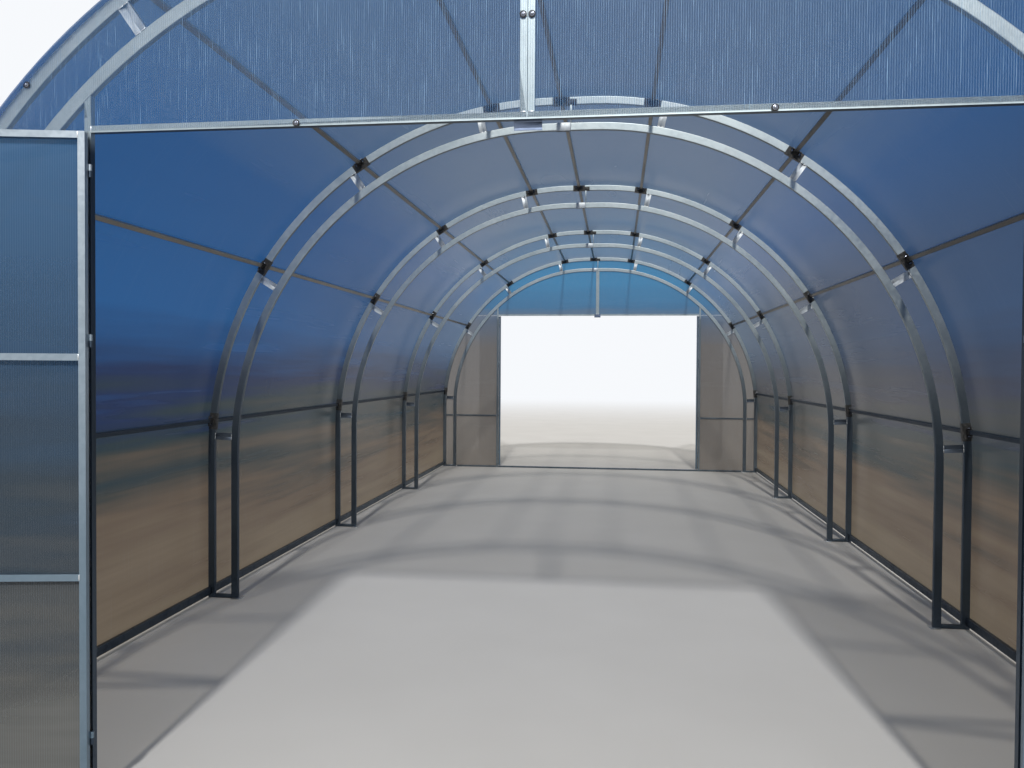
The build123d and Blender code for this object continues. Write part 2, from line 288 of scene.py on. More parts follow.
@dataclass(frozen=True)
class ZincFinish:
    """Zinc on steel: satin with faint flakes and soft clouds, duller with dirt near the ground and
    darker there with painted shade.

    The painted shade colour takes over below the fade and on faces that look down, where shade and
    dark reflections fall, and a painted shadow colour towards the right. The shares say how much of
    the zinc is kept there, and far down the tunnel, where the zinc is painted lighter.
    """

    name: str
    light: Colour = (0.58, 0.65, 0.68)
    dark: Colour = (0.42, 0.50, 0.54)
    stain: Colour = (0.16, 0.17, 0.18)
    # Painted shade colour: shade and dark reflections near the ground and under things.
    night: Colour = (0.016, 0.032, 0.062)
    metallic: float = 0.95
    roughness: float = 0.40
    flake: float = 0.010
    # Shares of the zinc kept against the painted shade: low down, on faces that look down, and more
    # far down the tunnel, where it is painted lighter.
    low_share: float = 1.0
    under_share: float = 0.25
    far_share: float = 0.0
    # Share of painted shadow towards the right, in the shadow colour.
    right_shade: float = 0.0
    fade: Span = (0.75, 2.15)
    far_reach: Span = (2.5, 8.4)
    right_reach: Span = (0.2, 1.0)
    shadow: Colour = (0.03, 0.03, 0.036)
    flake_contrast: float = 0.24
    cloud_contrast: float = 1.1
    grain_contrast: float = 0.16
    grain_depth: float = 0.00008

    def build(self) -> bpy.types.Material:
        """Make the material.

        Returns:
            The material.
        """
        surface = Surface(self.name, Metallic=self.metallic)
        flakes = surface.node("ShaderNodeTexVoronoi", {},
                              {"Vector": surface.place, "Scale": 1 / self.flake}, "Color")
        tone = flakes.part("X")
        cloud = surface.noise(surface.place, 4.0, 2.0)
        grain = surface.noise(surface.place, 220.0, 1.0)
        share = (0.5 + self.flake_contrast * (tone - 0.5) + self.cloud_contrast * (cloud - 0.5)
                 + self.grain_contrast * (grain - 0.5)).clamped()
        height = surface.place.part("Z")
        grime = surface.noise(surface.place, 18.0, 3.0, 0.7).band(0.48, 0.7)
        dirty = grime * (0.10 + 0.45 * (1.0 - height.band(0.02, 0.3)))
        zinc = surface.mix(dirty, surface.mix(share, self.dark, self.light), self.stain)
        # Painted shade: the shade colour takes over near the ground and on faces that look down.
        colour = surface.mix(self._dulled(surface, height), zinc, self.night)
        # Painted shadow towards the right-hand side.
        if self.right_shade:
            right = height.output("X").band(*self.right_reach)
            colour = surface.mix(self.right_shade * right, colour, self.shadow)
        surface.feed("Base Color", colour)
        surface.feed("Roughness", self.roughness + 0.08 * (tone - 0.5) + 0.2 * dirty
                     + 0.1 * (cloud - 0.5))
        surface.bump(0.7 * grain + 0.3 * tone, self.grain_depth, 0.5)
        return surface.material

    def _dulled(self, surface: Surface, height: Signal) -> Signal:
        """Share of the painted shade colour.

        Args:
            surface: The material in the making.
            height: Height over the ground, with the other two coordinates beside it.

        Returns:
            The share, from 0 to 1.
        """
        facing = surface.node("ShaderNodeNewGeometry", output="Normal")
        # Painted shade on faces that look down.
        under = facing.part("Z").band(-0.75, -0.35)
        # More zinc kept far down the tunnel: painted lighter there.
        kept = self.low_share + self.far_share * height.output("Y").band(*self.far_reach)
        # Painted shade below the fade, towards the ground.
        low = (1.0 - kept) * (1.0 - height.band(*self.fade))
        return (low + (1.0 - self.under_share) * (1.0 - under)).clamped()


@dataclass(frozen=True)
class DarkPaint:
    """Stamped steel in near-black painted shade, for the shade that the clamps sit in, with lighter
    patches that are part wear, part painted glints.
    """

    name: str = "clamp_steel"
    colour: Colour = (0.024, 0.025, 0.026)
    worn: Colour = (0.12, 0.115, 0.11)
    scuff_depth: float = 0.0003

    def build(self) -> bpy.types.Material:
        """Make the material.

        Returns:
            The material.
        """
        surface = Surface(self.name, Metallic=0.35)
        scuff = surface.noise(surface.place, 70.0, 5.0, 0.7)
        cloud = surface.noise(surface.place, 12.0, 2.0)
        # Lighter patches: part wear, part painted glints.
        wear_and_glint = scuff.band(0.46, 0.70) * (0.3 + 0.9 * cloud)
        surface.feed("Base Color", surface.mix(wear_and_glint, self.colour, self.worn))
        surface.feed("Roughness", 0.46 + 0.25 * (scuff - 0.5) + 0.1 * wear_and_glint)
        surface.bump(scuff, self.scuff_depth, 0.5)
        return surface.material


@dataclass(frozen=True)
class SealRubber:
    """Dull black rubber of the sealing washers."""

    name: str = "seal_rubber"
    dark: Colour = (0.012, 0.012, 0.014)
    light: Colour = (0.035, 0.035, 0.038)
    grain_depth: float = 0.0002

    def build(self) -> bpy.types.Material:
        """Make the material.

        Returns:
            The material.
        """
        surface = Surface(self.name)
        grain = surface.noise(surface.place, 400.0, 3.0)
        surface.feed("Base Color", surface.mix(grain, self.dark, self.light))
        surface.feed("Roughness", 0.7 + 0.2 * grain)
        surface.bump(grain, self.grain_depth, 0.6)
        return surface.material


@dataclass(frozen=True)
class TwinWall:
    """Clear twin-wall polycarbonate, with the sky and the ground that show through it painted on
    and given off as a glow.

    The cells are fine lines, run round the arch or upright, with painted highlight streaks along
    them. The painted tone goes from grey-tan near the ground to blue higher up, in soft level
    bands, and to painted grey shade towards the right and the back; higher up and far down the
    tunnel a painted sheen turns it milky. Lamp light passes better than the view, and more shows
    through head on than at a slant.
    """

    name: str
    cells: CellRun
    tones: Tones
    cover: float
    # Strength of the painted glow: the sheet gives off its painted colour as light, though it is no
    # lamp.
    glow: float
    turn: float = 0.0
    ribs: float = 0.10
    # Strength of the painted highlight streaks along the cells.
    haze: float = 0.3
    head_on: float = 1.0
    # Colour of the cell walls, which the painted highlight streaks and the painted sheen also take.
    milk: Colour = (0.36, 0.48, 0.62)
    # Share of painted sheen, higher up and far down the tunnel.
    far: float = 0.0
    far_rise: Span = (0.35, 0.65)
    far_reach: Span = (3.0, 8.4)
    # Share of painted grey shade towards the right and the back, with its colours low and high.
    dusk: float = 0.0
    dusk_low: Colour = (0.082, 0.077, 0.073)
    dusk_high: Colour = (0.038, 0.047, 0.064)
    dusk_right: Span = (0.4, 1.9)
    dusk_back: Span = (1.0, 6.0)
    swing: Span = (0.44, 0.08)
    pitch: float = 0.00636
    rib_depth: float = 0.00015
    height: float = 2.7
    passes: Colour = (0.79, 0.78, 0.76)

    @classmethod
    def outside(cls, name: str, cells: CellRun, turn: float = 0.0) -> "TwinWall":
        """The pale milky outer face of a sheet."""
        return cls(name, cells, OUTSIDE_TONES, 0.72, 0.0, turn, ribs=0.18, haze=0.05, head_on=0.55)

    def build(self) -> bpy.types.Material:
        """Make the material.

        Returns:
            The material.
        """
        surface = Surface(self.name, Specular_IOR_Level=0.15, Emission_Strength=self.glow)
        across = surface.turned(self.turn).part(self.cells.value)
        rib = (0.5 + 0.5 * (across * (2 * pi / self.pitch)).sine()) ** 4.0
        place = surface.place.part("Z")
        level = place * (1 / self.height)
        bands = surface.noise(surface.stretched((1.0, 0.4, 9.0), self.turn), 1.0, 3.0)
        comb = surface.noise(surface.stretched(self.cells.comb, self.turn), 1.0, 1.0)
        # Painted highlight streaks along the cells.
        streak_glint = comb.band(0.55, 0.80) * (0.25 + 0.75 * rib)
        # Painted sheen, higher up and far down the tunnel.
        far = self.far * level.band(*self.far_rise) * place.output("Y").band(*self.far_reach)
        share = (self.haze * streak_glint + self.ribs * rib + far).clamped()
        lit = surface.mix(share, self._view(surface, place, level, bands), self.milk)
        surface.feed("Base Color", lit)
        # Painted glow: the same colour is given off as light.
        surface.feed("Emission Color", lit)
        weight = surface.node("ShaderNodeLayerWeight", {}, {"Blend": 0.5}, "Facing")
        slant = weight.band(0.25, 0.45)
        veil = self.cover * (self.head_on + (1.0 - self.head_on) * slant)
        surface.feed("Alpha", (veil + 0.5 * self.ribs * rib
                               + 0.25 * self.haze * streak_glint).clamped(0.04, 0.98))
        surface.feed("Roughness", 0.20 + 0.12 * bands)
        surface.bump(rib, self.rib_depth, 0.3)
        lamp = surface.node("ShaderNodeLightPath", output="Is Shadow Ray")
        surface.blend(lamp, surface.node("ShaderNodeBsdfTransparent", {},
                                         {"Color": (*self.passes, 1.0)}))
        return surface.material

    def _view(self, surface: Surface, place: Signal, level: Signal, bands: Signal) -> Signal:
        """The painted sky and ground that glow through the sheet, with painted grey shade towards
        the right and the back.

        Args:
            surface: The material in the making.
            place: Height, with the other two coordinates beside it.
            level: Height as a share of the tunnel's.
            bands: Soft noise in level bands.

        Returns:
            The colour.
        """
        low, high = self.swing
        swing = low - (low - high) * level.band(0.30, 0.60)
        tone = surface.node("ShaderNodeValToRGB", {"stops": self.tones},
                            {0: (level + swing * (bands - 0.5)).clamped()})
        if not self.dusk:
            return tone
        # Painted grey shade towards the right and the back, at middle heights.
        side = (0.7 * place.output("X").band(*self.dusk_right)
                + 0.5 * place.output("Y").band(*self.dusk_back)).clamped()
        share = self.dusk * side * level.band(0.28, 0.40) * (1.0 - level.band(0.66, 0.86))
        return surface.mix(share, tone, surface.mix(level.band(0.38, 0.54), self.dusk_low,
                                                    self.dusk_high))


@dataclass(frozen=True)
class Finishes:
    """The materials of the whole object; those of walls and leaves by their names."""

    tube: bpy.types.Material
    low_bar: bpy.types.Material
    posts: bpy.types.Material
    leaf: bpy.types.Material
    satin: bpy.types.Material
    dull: bpy.types.Material
    stop: bpy.types.Material
    screw: bpy.types.Material
    bright: bpy.types.Material
    clamp: bpy.types.Material
    rubber: bpy.types.Material
    roof: bpy.types.Material
    roof_outside: bpy.types.Material
    walls: dict[str, bpy.types.Material]
    walls_outside: bpy.types.Material
    leaves: dict[str, bpy.types.Material]
    leaves_outside: dict[str, bpy.types.Material]

    @classmethod
    def make(cls) -> "Finishes":
        """Build every finish once.

        Returns:
            All of them.
        """
        upright, arched = CellRun.UPRIGHT, CellRun.ROUND_THE_ARCH
        turns = {f"{end.title}_{name}": side * end.out * radians(180.0 - end.open_angle)
                 for end in End for name, side in SIDES.items()}
        return cls(
            # Painted shade: the arches go dark towards the ground, and are painted lighter far down
            # the tunnel.
            tube=ZincFinish("galvanized_tube", low_share=0.10, far_share=0.14).build(),
            # Painted shade: the lower purlins take the shade colour below 1.1 m.
            low_bar=ZincFinish("low_tube", night=(0.022, 0.038, 0.060), metallic=0.3,
                               roughness=0.58, low_share=0.0, fade=(1.1, 2.15)).build(),
            # Painted shade: the door frame is a darker zinc, takes the shade colour below the
            # lintel and is painted lighter far down the tunnel.
            posts=ZincFinish("galvanized_posts", (0.49, 0.57, 0.61), (0.36, 0.44, 0.48),
                             low_share=0.10, far_share=0.35, fade=(1.90, 1.955)).build(),
            # Painted shade: the leaf frames are a darker zinc that goes bluer and darker towards
            # the bottom.
            leaf=ZincFinish("galvanized_leaf", (0.42, 0.475, 0.53), (0.29, 0.35, 0.40),
                            night=(0.12, 0.20, 0.28), low_share=0.30, fade=(0.5, 1.9)).build(),
            # Painted shade: the satin plate goes dark below about a metre.
            satin=ZincFinish("satin_plate", (0.64, 0.69, 0.73), (0.50, 0.55, 0.60),
                             roughness=0.52, low_share=0.12, fade=(0.95, 1.25)).build(),
            # Purlins: a darker, browner zinc that is partly painted shade, with painted shadow
            # towards the right and the shade colour on faces that look down.
            dull=ZincFinish("dull_tube", (0.46, 0.44, 0.40), (0.30, 0.285, 0.26),
                            (0.10, 0.10, 0.10), (0.17, 0.16, 0.148), 0.85, 0.36,
                            under_share=0.0, right_shade=0.7).build(),
            # Painted shade: a darker bluish zinc for the door stops, which sit in shade.
            stop=ZincFinish("stop_plate", (0.22, 0.27, 0.38), (0.14, 0.18, 0.27),
                            (0.06, 0.07, 0.10), metallic=0.90, roughness=0.34,
                            under_share=1.0).build(),
            # Painted reflection: a darker zinc for screw domes and nuts, as they mirror dark
            # surroundings.
            screw=ZincFinish("screw_head", (0.36, 0.39, 0.46), (0.22, 0.24, 0.30),
                             (0.10, 0.10, 0.12), roughness=0.22, flake=0.005,
                             under_share=1.0).build(),
            bright=ZincFinish("bright_plate", (0.76, 0.79, 0.82), (0.55, 0.59, 0.62),
                              (0.25, 0.25, 0.25), roughness=0.3, flake=0.005).build(),
            clamp=DarkPaint().build(),
            rubber=SealRubber().build(),
            # Roof: painted sky and ground given off as a glow, a painted sheen higher up and far
            # down the tunnel, and painted grey shade towards the right and the back.
            roof=TwinWall("roof_sheet", arched, ROOF_TONES, 0.965, 0.55, ribs=0.05, haze=0.035,
                          head_on=0.5, milk=(0.33, 0.42, 0.52), far=0.30, dusk=0.8).build(),
            roof_outside=TwinWall.outside("roof_sheet_outside", arched).build(),
            walls={
                # Walls: the front is mostly see-through with strong painted highlight streaks; the
                # rear glows with its painted sky and ground.
                "front": TwinWall("front_wall_sheet", upright, FRONT_TONES, 0.12, 0.1, ribs=0.50,
                                  haze=0.80, milk=(0.36, 0.58, 0.84)).build(),
                "rear": TwinWall("rear_wall_sheet", upright, REAR_TONES, 0.90, 0.6,
                                 haze=0.10).build()},
            walls_outside=TwinWall.outside("wall_sheet_outside", upright).build(),
            # Leaves: painted sky and ground given off as a glow, with faint painted highlight
            # streaks.
            leaves={key: TwinWall("leaf_sheet_" + key, upright, LEAF_TONES, 0.84, 0.35, turn,
                                  ribs=0.045, haze=0.02).build() for key, turn in turns.items()},
            leaves_outside={key: TwinWall.outside("leaf_outside_" + key, upright, turn).build()
                            for key, turn in turns.items()})


@dataclass(frozen=True)
class Place:
    """Where a repeated piece goes, and how it is turned."""

    spot: Vector
    turn: Matrix

    @classmethod
    def facing(cls, spot: Sequence[float], up: Vector, along: Vector) -> "Place":
        """A place whose local Z is up and whose local X is along.

        Args:
            spot: The point.
            up: The way that local Z points.
            along: The way that local X points, square to up.

        Returns:
            The place.
        """
        z_axis, x_axis = up.normalized(), along.normalized()
        return cls(Vector(spot), Matrix((x_axis, z_axis.cross(x_axis), z_axis)).transposed())

    @classmethod
    def upright(cls, *spot: float) -> "Place":
        """A place that stands upright, with its local X across the tunnel."""
        return cls.facing(spot, UP, ACROSS)


@dataclass(frozen=True)
class Tunnel:
    """Main sizes of the greenhouse in metres, and the points that follow from them.

    An offset is measured outwards from the inner arch's centreline. Angles are in degrees from
    the horizontal, and a side is 1 for the right and -1 for the left.
    """

    bay_length: float = 2.1
    bay_count: int = 4
    half_width: float = 1.846
    leg_height: float = 0.81
    crown_flat: float = 0.108
    arch_spacing: float = 0.134
    arch_depth: float = 0.04
    tube: float = 0.02
    joint_gap: float = 0.001
    sheet: float = 0.004
    door_half: float = 1.275
    lintel_drop: float = 0.0686
    weld_gap: float = 0.0003
    purlin_gap: float = 0.0001
    ridge_x: float = -0.052
    lower_angle: float = 5.3
    middle_angle: float = 33.2
    upper_angle: float = 56.9
    top_angle: float = 80.4
    bend_steps: int = 40

    @property
    def stations(self) -> list[float]:
        """Y of each arch."""
        return [index * self.bay_length for index in range(self.bay_count + 1)]

    @property
    def length(self) -> float:
        """Y of the last arch."""
        return self.bay_length * self.bay_count

    @property
    def outer_face(self) -> float:
        """Offset of the outer arch's outer face."""
        return self.arch_spacing + self.arch_depth / 2

    @property
    def purlin_offset(self) -> float:
        """Offset of the purlins' centreline."""
        return self.outer_face - self.purlin_gap - self.tube / 2

    @property
    def purlin_angles(self) -> dict[str, float]:
        """Angle of each purlin line on the bends."""
        return {"lower": self.lower_angle, "middle": self.middle_angle,
                "upper": self.upper_angle, "top": self.top_angle}

    @property
    def lintel_top(self) -> float:
        """Find the lintel's top, under the point where the posts would meet the arch.

        Returns:
            Its height over the ground.
        """
        radius = self.radius(-self.arch_depth / 2 - self.weld_gap)
        reach = self.door_half + self.tube - self.crown_flat
        return self.leg_height + sqrt(radius ** 2 - reach ** 2) - self.lintel_drop

    def radius(self, offset: float) -> float:
        """Radius of the bend at an offset."""
        return self.half_width + offset - self.crown_flat

    def crown(self, offset: float) -> float:
        """Height of the crown at an offset."""
        return self.leg_height + self.radius(offset)

    def outward(self, angle: float, side: int) -> Vector:
        """The way out of the tunnel at an angle on the bend."""
        return Vector((side * cos(radians(angle)), 0.0, sin(radians(angle))))

    def bend(self, offset: float, angle: float, side: int, y: float = 0.0) -> Vector:
        """Point on the bend, at a place along the tunnel."""
        centre = Vector((side * self.crown_flat, y, self.leg_height))
        return centre + self.radius(offset) * self.outward(angle, side)

    def half_arch(self, offset: float, side: int, y: float) -> list[Vector]:
        """Centreline of one bent half, from the ground to the crown joint.

        Args:
            offset: Offset of the arch.
            side: Its side of the tunnel.
            y: Its place along the tunnel.

        Returns:
            The points.
        """
        foot = Vector((side * (self.half_width + offset), y, 0.0))
        bend = [self.bend(offset, 90.0 * step / self.bend_steps, side, y)
                for step in range(self.bend_steps + 1)]
        return [foot, *bend, Vector((side * self.joint_gap / 2, y, self.crown(offset)))]


def mesh_of(build: bmesh.types.BMesh, name: str) -> bpy.types.Mesh:
    """Turn finished mesh data into a mesh, and free the data.

    Args:
        build: The data.
        name: Name of the mesh.

    Returns:
        The mesh.
    """
    mesh = bpy.data.meshes.new(name)
    build.to_mesh(mesh)
    build.free()
    return mesh


class Workshop:
    """Makes meshes by rule and turns them into named pieces."""

    smooth_below: float = radians(34.0)
    bevel_above: float = radians(40.0)
    flat_within: float = radians(0.4)
    merge_within: float = 0.00001
    corner_steps: int = 3

    def __init__(self) -> None:
        """Build the Geometry Nodes trees once."""
        self.sweep_rule = self._sweep_rule()
        self.repeat_rule = self._repeat_rule()

    @staticmethod
    def _new_rule(name: str, sockets: Mapping[str, str]) -> tuple[Graph, Signal]:
        """Make an empty rule with named inputs.

        Args:
            name: The rule's name.
            sockets: Type of each input by its name.

        Returns:
            The tree and its group input.
        """
        tree = bpy.data.node_groups.new(name, "GeometryNodeTree")
        for title, kind in {"Geometry": "Geometry", **sockets, "Material": "Material"}.items():
            tree.interface.new_socket(name=title, in_out="INPUT", socket_type="NodeSocket" + kind)
        tree.interface.new_socket(name="Geometry", in_out="OUTPUT",
                                  socket_type="NodeSocketGeometry")
        graph = Graph(tree)
        return graph, graph.node("NodeGroupInput")

    @staticmethod
    def _end_rule(graph: Graph, given: Signal, shape: Signal) -> bpy.types.NodeTree:
        """Make a rule's result real, give it its material and close the rule.

        Args:
            graph: The rule's tree.
            given: Its group input.
            shape: Its result.

        Returns:
            The whole tree.
        """
        whole = graph.node("GeometryNodeRealizeInstances", {}, {0: shape})
        dressed = graph.node("GeometryNodeSetMaterial", {},
                             {0: whole, "Material": given.output("Material")})
        graph.node("NodeGroupOutput", {}, {0: dressed})
        return graph.tree

    def _sweep_rule(self) -> bpy.types.NodeTree:
        """Make the rule that runs a section along a path.

        Returns:
            The rule's tree.
        """
        graph, given = self._new_rule("section_along_path", {"Section": "Object"})
        section = graph.node("GeometryNodeObjectInfo", {}, {0: given.output("Section")}, "Geometry")
        swept = graph.node("GeometryNodeCurveToMesh", {}, {
            0: given.output("Geometry"), 1: section, "Fill Caps": True})
        return self._end_rule(graph, given, swept)

    def _repeat_rule(self) -> bpy.types.NodeTree:
        """Make the rule that sets a pattern on every point, rolled at random about its own axis.

        Returns:
            The rule's tree.
        """
        graph, given = self._new_rule("pattern_on_points", {
            "Pattern": "Object", "Roll": "Float", "Seed": "Int"})
        pattern = graph.node("GeometryNodeObjectInfo", {}, {0: given.output("Pattern")}, "Geometry")
        turn = graph.node("GeometryNodeInputNamedAttribute", {"data_type": "FLOAT_VECTOR"},
                          {0: "turn"})
        base = graph.node("FunctionNodeEulerToRotation", {}, {0: turn})
        roll = graph.node("FunctionNodeRandomValue", {"data_type": "FLOAT"}, {
            2: 0.0, 3: given.output("Roll"), "Seed": given.output("Seed")}, 1)
        spin = graph.node("ShaderNodeCombineXYZ", {}, {"Z": roll})
        rolled = graph.node("FunctionNodeRotateRotation", {"rotation_space": "LOCAL"}, {
            0: base, 1: graph.node("FunctionNodeEulerToRotation", {}, {0: spin})})
        placed = graph.node("GeometryNodeInstanceOnPoints", {}, {
            "Points": given.output("Geometry"), "Instance": pattern, "Rotation": rolled})
        return self._end_rule(graph, given, placed)

    @staticmethod
    def _run(rule: bpy.types.NodeTree, carrier: bpy.types.Object, source: bpy.types.Object,
             values: Mapping[str, Any]) -> bpy.types.Mesh:
        """Run a rule on an object, take the result as a mesh and clear both objects away.

        Args:
            rule: The Geometry Nodes tree.
            carrier: The object that the rule starts from.
            source: The object that it uses.
            values: The rule's inputs by name.

        Returns:
            The finished mesh.
        """
        sockets = {item.name: item.identifier for item in rule.interface.items_tree
                   if item.in_out == "INPUT"}
        modifier = carrier.modifiers.new("rule", "NODES")
        modifier.node_group = rule
        for name, value in values.items():
            modifier[sockets[name]] = value
        graph = bpy.context.evaluated_depsgraph_get()
        mesh = bpy.data.meshes.new_from_object(carrier.evaluated_get(graph), depsgraph=graph)
        carrier.modifiers.remove(modifier)
        for used in (carrier, source):
            bpy.data.objects.remove(used)
        return mesh

    @staticmethod
    def _link(data: bpy.types.ID, name: str) -> bpy.types.Object:
        """Put data into the scene as an object.

        Args:
            data: Mesh or curve.
            name: Name of the object.

        Returns:
            The object.
        """
        made = bpy.data.objects.new(name, data)
        bpy.context.scene.collection.objects.link(made)
        return made

    def _line(self, name: str, points: Sequence[Vector], closed: bool) -> bpy.types.Object:
        """Spline of straight runs through points.

        Args:
            name: Name of the object.
            points: The points in order.
            closed: Whether the last one joins the first.

        Returns:
            The object that holds the spline.
        """
        curve = bpy.data.curves.new(name, "CURVE")
        curve.dimensions = "3D"
        spline = curve.splines.new("POLY")
        spline.points.add(len(points) - 1)
        for point, given in zip(spline.points, points):
            point.co = (*given, 1.0)
        spline.use_cyclic_u = closed
        return self._link(curve, name)

    def sweep(self, path: Sequence[Vector], depth: float, width: float, corner: float,
              material: bpy.types.Material) -> bpy.types.Mesh:
        """Box tube with rounded corners along a path in an upright plane.

        Args:
            path: Points of the centreline.
            depth: Size of the tube in the path's plane.
            width: Size of the tube across it.
            corner: Outer corner radius.
            material: The tube's finish.

        Returns:
            The tube as a closed mesh.
        """
        section = self._line("section", self._rounded_outline(depth, width, corner), True)
        carrier = self._line("path", path, False)
        return self._run(self.sweep_rule, carrier, section,
                         {"Section": section, "Material": material})

    def _rounded_outline(self, depth: float, width: float, corner: float) -> list[Vector]:
        """Outline of a rounded box, with a point beside each corner so that its flats stay flat.

        Args:
            depth: Size along X.
            width: Size along Y.
            corner: Corner radius.

        Returns:
            The points, anticlockwise.
        """
        points, quarter_turn = [], pi / 2
        for quarter, (sx, sy) in enumerate(((1, 1), (-1, 1), (-1, -1), (1, -1))):
            centre = Vector((sx * (depth / 2 - corner), sy * (width / 2 - corner), 0.0))
            start, end = quarter_turn * quarter, quarter_turn * (quarter + 1)
            arc = [centre + corner * Vector((cos(a), sin(a), 0.0))
                   for a in (quarter_turn * (quarter + step / self.corner_steps)
                             for step in range(self.corner_steps + 1))]
            before = Vector((sin(start), -cos(start), 0.0))
            after = Vector((-sin(end), cos(end), 0.0))
            points += [arc[0] + corner / 2 * before, *arc, arc[-1] + corner / 2 * after]
        return points

    def repeat(self, pattern: bpy.types.Mesh, places: Sequence[Place],
               material: bpy.types.Material, seed: int | None = None) -> bpy.types.Mesh:
        """Set a pattern on many places.

        Args:
            pattern: The piece to repeat.
            places: Where it goes.
            material: Its finish.
            seed: Seed of a random turn about its own axis, or nothing for no such turn.

        Returns:
            All of them as one mesh.
        """
        points = bpy.data.meshes.new("places")
        points.from_pydata([place.spot for place in places], [], [])
        turns = points.attributes.new("turn", "FLOAT_VECTOR", "POINT")
        for value, place in zip(turns.data, places):
            value.vector = place.turn.to_euler()
        source = self._link(pattern, "pattern")
        return self._run(self.repeat_rule, self._link(points, "places"), source, {
            "Pattern": source, "Material": material, "Roll": 0.0 if seed is None else 2 * pi,
            "Seed": seed or 0})

    @staticmethod
    def joined(name: str, meshes: Sequence[bpy.types.Mesh]) -> bpy.types.Mesh:
        """One mesh of several, with their materials.

        Args:
            name: Name of the result.
            meshes: The meshes, each of one material.

        Returns:
            The joined mesh.
        """
        materials = []
        build = bmesh.new()
        for mesh in meshes:
            first = len(build.faces)
            build.from_mesh(mesh)
            finish = next(item for item in mesh.materials if item)
            if finish not in materials:
                materials.append(finish)
            build.faces.ensure_lookup_table()
            for face in build.faces[first:]:
                face.material_index = materials.index(finish)
        result = mesh_of(build, name)
        for finish in materials:
            result.materials.append(finish)
        return result

    def piece(self, name: str, mesh: bpy.types.Mesh, body: str, slot: str,
              replaced: Sequence[str] = ()) -> bpy.types.Object:
        """Turn a mesh into a piece that rides on a body.

        Args:
            name: Name of the piece.
            mesh: Its finished mesh.
            body: The body that it rides on.
            slot: The record's slot; not used.
            replaced: Nodes that it stands for.

        Returns:
            The object.
        """
        mesh.name = name
        mesh.shade_smooth()
        mesh.set_sharp_from_angle(angle=self.smooth_below)
        made = self._link(mesh, name)
        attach(made, body)
        if replaced:
            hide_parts(*replaced)
        log.info("%s: %d faces on %s", name, len(mesh.polygons), body)
        return made

    def rounded_node(self, node: str, body: str, slot: str, material: bpy.types.Material,
                     radius: float) -> None:
        """Stand-in for a node with its corners rounded, as rolled or stamped steel has them.

        Args:
            node: The node to stand for.
            body: The body that it rides on.
            slot: The record's slot.
            material: The finish.
            radius: Corner radius.
        """
        mesh = self._merged_copy(node, [material])
        made = self.piece(node + "_shaped", mesh, body, slot, [node])
        bevel = made.modifiers.new("corners", "BEVEL")
        bevel.width = radius
        bevel.segments = 2
        bevel.limit_method = "ANGLE"
        bevel.angle_limit = self.bevel_above
        bevel.harden_normals = True

    def sheet_node(self, node: str, body: str, inside: bpy.types.Material,
                   outside: bpy.types.Material, way: Vector | None = None,
                   spring: float = 0.0) -> None:
        """Stand-in for a sheet, with its inner and its outer face in finishes of their own.

        Args:
            node: The node to stand for.
            body: The body that it rides on.
            inside: Finish of the inner face and the edges.
            outside: Finish of the outer face.
            way: Way out of a flat sheet, or nothing for a sheet bent round the tunnel.
            spring: Height of a bent sheet's axis.
        """
        mesh = self._merged_copy(node, [inside, outside])
        for face in mesh.polygons:
            centre = face.center
            out = way or Vector((centre.x, 0.0, max(0.0, centre.z - spring))).normalized()
            face.material_index = int(face.normal.dot(out) > 0.5)
        self.piece(node + "_shaped", mesh, body, SHEET, [node])

    def _merged_copy(self, node: str, materials: Sequence[bpy.types.Material]) -> bpy.types.Mesh:
        """Copy of a node's mesh with its triangles joined into whole faces.

        Args:
            node: The node.
            materials: The copy's finishes.

        Returns:
            The copy.
        """
        build = bmesh.new()
        build.from_mesh(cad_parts[node].data)
        bmesh.ops.remove_doubles(build, verts=build.verts, dist=self.merge_within)
        bmesh.ops.dissolve_limit(build, angle_limit=self.flat_within, verts=build.verts,
                                 edges=build.edges)
        mesh = mesh_of(build, node + "_copy")
        mesh.materials.clear()
        for material in materials:
            mesh.materials.append(material)
        return mesh


